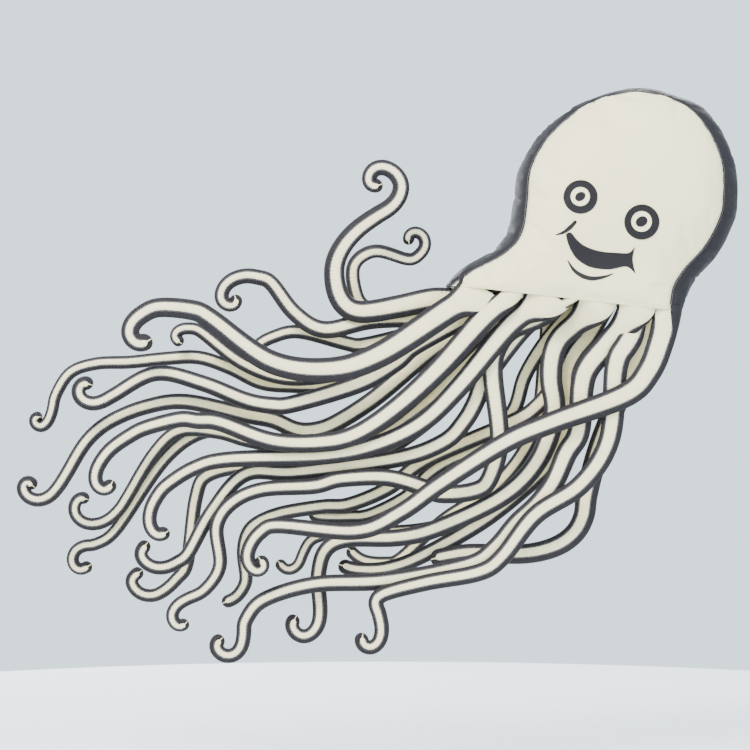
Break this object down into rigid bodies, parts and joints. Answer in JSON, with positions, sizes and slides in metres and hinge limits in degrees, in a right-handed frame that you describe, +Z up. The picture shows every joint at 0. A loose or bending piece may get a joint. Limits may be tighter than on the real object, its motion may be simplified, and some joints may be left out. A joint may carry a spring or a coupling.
{
  "type": "octopus kite",
  "caption": "Inflated soft kite shaped as a smiling octopus, with a tow keel, an air inlet, a dump zip and long curling arms that swing at the skirt.",
  "frame": {"origin": "centre of the tow eyelet's bore, on the keel behind the head", "axes": "+Z up; the face looks along -Y; the arms stream towards -X; the tow eyelet's bore runs along X"},
  "size_m": [2.1732, 0.5251, 1.7358],
  "materials": {
    "cream_cloth": "matte ripstop",
    "charcoal_cloth": "matte ripstop",
    "face_patch": "matte applique",
    "white_patch": "matte applique",
    "arm_cloth": "matte ripstop",
    "eyelet_brass": "satin",
    "collar_plastic": "matte",
    "inlet_net": "matte",
    "zip_web": "matte",
    "zip_teeth": "satin",
    "zip_metal": "satin",
    "glass_fibre": "satin",
    "cap_rubber": "matte"
  },
  "bodies": {
    "head": {"front_panel": "cream_cloth", "back_panel": "cream_cloth", "left_gusset": "charcoal_cloth", "right_gusset": "charcoal_cloth", "crown_patch": "charcoal_cloth", "base_panel": "charcoal_cloth", "hem_facing": "cream_cloth", "upper_rib": "cream_cloth", "lower_rib": "cream_cloth", "left_eye_ring": "face_patch", "left_eye_white": "white_patch", "left_pupil": "face_patch", "right_eye_ring": "face_patch", "right_eye_white": "white_patch", "right_pupil": "face_patch", "mouth_patch": "face_patch", "cheek_line": "face_patch", "chin_line": "face_patch", "keel_fin": "cream_cloth", "keel_patches": "face_patch", "tow_eyelet": "eyelet_brass", "trim_eyelets": "eyelet_brass", "inlet_collar": "collar_plastic", "inlet_mesh": "inlet_net", "zip_tape": "zip_web", "zip_coil": "zip_teeth", "spreader_rod": "glass_fibre", "rod_sleeve": "cream_cloth", "rod_caps": "cap_rubber"},
    "slider": {"zip_slider": "zip_metal"},
    "pull": {"zip_pull": "zip_metal"},
    "arm_01": {"arm_01": "arm_cloth"},
    "arm_02": {"arm_02": "arm_cloth"},
    "arm_03": {"arm_03": "arm_cloth"},
    "arm_04": {"arm_04": "arm_cloth"},
    "arm_05": {"arm_05": "arm_cloth"},
    "arm_06": {"arm_06": "arm_cloth"},
    "arm_07": {"arm_07": "arm_cloth"},
    "arm_08": {"arm_08": "arm_cloth"},
    "arm_09": {"arm_09": "arm_cloth"},
    "arm_10": {"arm_10": "arm_cloth"},
    "arm_11": {"arm_11": "arm_cloth"},
    "arm_12": {"arm_12": "arm_cloth"},
    "arm_13": {"arm_13": "arm_cloth"},
    "arm_14": {"arm_14": "arm_cloth"},
    "arm_15": {"arm_15": "arm_cloth"},
    "arm_16": {"arm_16": "arm_cloth"},
    "arm_17": {"arm_17": "arm_cloth"},
    "arm_18": {"arm_18": "arm_cloth"},
    "arm_19": {"arm_19": "arm_cloth"},
    "arm_20": {"arm_20": "arm_cloth"},
    "arm_21": {"arm_21": "arm_cloth"},
    "arm_22": {"arm_22": "arm_cloth"},
    "arm_23": {"arm_23": "arm_cloth"},
    "arm_24": {"arm_24": "arm_cloth"},
    "arm_25": {"arm_25": "arm_cloth"},
    "arm_26": {"arm_26": "arm_cloth"}
  },
  "joints": [
    {"name": "zip_slide", "type": "slide", "parent": "head", "child": "slider", "axis": [0.0169, 0.0677, -0.9976], "range_m": [0, 0.13]},
    {"name": "pull_swing", "type": "hinge", "parent": "slider", "child": "pull", "pos_m": [0.15071, -0.13421, 0.04637], "axis": [0.9703, -0.2419, 0], "range_deg": [0, 150]},
    {"name": "arm_01_swing", "type": "hinge", "parent": "head", "child": "arm_01", "pos_m": [-0.485, -0.3585, -0.355], "axis": [-0.02, 0.9998, 0], "range_deg": [-5, 5], "stiffness_Nm_per_rad": 8},
    {"name": "arm_02_swing", "type": "hinge", "parent": "head", "child": "arm_02", "pos_m": [-0.46, -0.242, -0.36], "axis": [0.02, 0.9998, 0], "range_deg": [-5, 5], "stiffness_Nm_per_rad": 8},
    {"name": "arm_03_swing", "type": "hinge", "parent": "head", "child": "arm_03", "pos_m": [-0.435, -0.3345, -0.365], "axis": [-0.012, 0.9999, 0], "range_deg": [-5, 5], "stiffness_Nm_per_rad": 8},
    {"name": "arm_04_swing", "type": "hinge", "parent": "head", "child": "arm_04", "pos_m": [-0.41, -0.2886, -0.36], "axis": [0.004, 1, 0], "range_deg": [-5, 5], "stiffness_Nm_per_rad": 8},
    {"name": "arm_05_swing", "type": "hinge", "parent": "head", "child": "arm_05", "pos_m": [-0.465, -0.45106, -0.365], "axis": [-0.0519, 0.9987, 0], "range_deg": [-5, 5], "stiffness_Nm_per_rad": 8},
    {"name": "arm_06_swing", "type": "hinge", "parent": "head", "child": "arm_06", "pos_m": [-0.385, -0.2661, -0.36], "axis": [0.012, 0.9999, 0], "range_deg": [-5, 5], "stiffness_Nm_per_rad": 8},
    {"name": "arm_07_swing", "type": "hinge", "parent": "head", "child": "arm_07", "pos_m": [-0.36, -0.2216, -0.365], "axis": [0.028, 0.9996, 0], "range_deg": [-5, 5], "stiffness_Nm_per_rad": 8},
    {"name": "arm_08_swing", "type": "hinge", "parent": "head", "child": "arm_08", "pos_m": [-0.405, -0.37966, -0.365], "axis": [-0.028, 0.9996, 0], "range_deg": [-5, 5], "stiffness_Nm_per_rad": 8},
    {"name": "arm_09_swing", "type": "hinge", "parent": "head", "child": "arm_09", "pos_m": [-0.375, -0.31126, -0.365], "axis": [-0.004, 1, 0], "range_deg": [-5, 5], "stiffness_Nm_per_rad": 8},
    {"name": "arm_10_swing", "type": "hinge", "parent": "head", "child": "arm_10", "pos_m": [-0.36, -0.4232, -0.375], "axis": [-0.044, 0.999, 0], "range_deg": [-5, 5], "stiffness_Nm_per_rad": 8},
    {"name": "arm_11_swing", "type": "hinge", "parent": "head", "child": "arm_11", "pos_m": [-0.325, -0.20046, -0.365], "axis": [0.036, 0.9994, 0], "range_deg": [-5, 5], "stiffness_Nm_per_rad": 8},
    {"name": "arm_12_swing", "type": "hinge", "parent": "head", "child": "arm_12", "pos_m": [-0.3, -0.17944, -0.37], "axis": [0.044, 0.999, 0], "range_deg": [-5, 5], "stiffness_Nm_per_rad": 8},
    {"name": "arm_13_swing", "type": "hinge", "parent": "head", "child": "arm_13", "pos_m": [-0.265, -0.39738, -0.385], "axis": [-0.036, 0.9994, 0], "range_deg": [-5, 5], "stiffness_Nm_per_rad": 8},
    {"name": "arm_14_swing", "type": "hinge", "parent": "head", "child": "arm_14", "pos_m": [-0.27, -0.15908, -0.37], "axis": [0.0519, 0.9987, 0], "range_deg": [-5, 5], "stiffness_Nm_per_rad": 8},
    {"name": "arm_15_swing", "type": "hinge", "parent": "head", "child": "arm_15", "pos_m": [-0.23, -0.3534, -0.385], "axis": [-0.02, 0.9998, 0], "range_deg": [-5, 5], "stiffness_Nm_per_rad": 8},
    {"name": "arm_16_swing", "type": "hinge", "parent": "head", "child": "arm_16", "pos_m": [-0.18, -0.37336, -0.39], "axis": [-0.028, 0.9996, 0], "range_deg": [-5, 5], "stiffness_Nm_per_rad": 8},
    {"name": "arm_17_swing", "type": "hinge", "parent": "head", "child": "arm_17", "pos_m": [0.125, -0.42038, -0.43], "axis": [-0.0519, 0.9987, 0], "range_deg": [-5, 5], "stiffness_Nm_per_rad": 8},
    {"name": "arm_18_swing", "type": "hinge", "parent": "head", "child": "arm_18", "pos_m": [-0.12, -0.28976, -0.39], "axis": [0.004, 1, 0], "range_deg": [-5, 5], "stiffness_Nm_per_rad": 8},
    {"name": "arm_19_swing", "type": "hinge", "parent": "head", "child": "arm_19", "pos_m": [-0.15, -0.26892, -0.39], "axis": [0.012, 0.9999, 0], "range_deg": [-5, 5], "stiffness_Nm_per_rad": 8},
    {"name": "arm_20_swing", "type": "hinge", "parent": "head", "child": "arm_20", "pos_m": [0.02, -0.38712, -0.42], "axis": [-0.036, 0.9994, 0], "range_deg": [-5, 5], "stiffness_Nm_per_rad": 8},
    {"name": "arm_21_swing", "type": "hinge", "parent": "head", "child": "arm_21", "pos_m": [-0.1, -0.3508, -0.405], "axis": [-0.02, 0.9998, 0], "range_deg": [-5, 5], "stiffness_Nm_per_rad": 8},
    {"name": "arm_22_swing", "type": "hinge", "parent": "head", "child": "arm_22", "pos_m": [-0.21, -0.247, -0.38], "axis": [0.02, 0.9998, 0], "range_deg": [-5, 5], "stiffness_Nm_per_rad": 8},
    {"name": "arm_23_swing", "type": "hinge", "parent": "head", "child": "arm_23", "pos_m": [-0.08, -0.22944, -0.395], "axis": [0.028, 0.9996, 0], "range_deg": [-5, 5], "stiffness_Nm_per_rad": 8},
    {"name": "arm_24_swing", "type": "hinge", "parent": "head", "child": "arm_24", "pos_m": [0.065, -0.4045, -0.43], "axis": [-0.044, 0.999, 0], "range_deg": [-5, 5], "stiffness_Nm_per_rad": 8},
    {"name": "arm_25_swing", "type": "hinge", "parent": "head", "child": "arm_25", "pos_m": [-0.06, -0.31, -0.4], "axis": [-0.004, 1, 0], "range_deg": [-5, 5], "stiffness_Nm_per_rad": 8},
    {"name": "arm_26_swing", "type": "hinge", "parent": "head", "child": "arm_26", "pos_m": [0.1, -0.32808, -0.42], "axis": [-0.012, 0.9999, 0], "range_deg": [-5, 5], "stiffness_Nm_per_rad": 8}
  ]
}
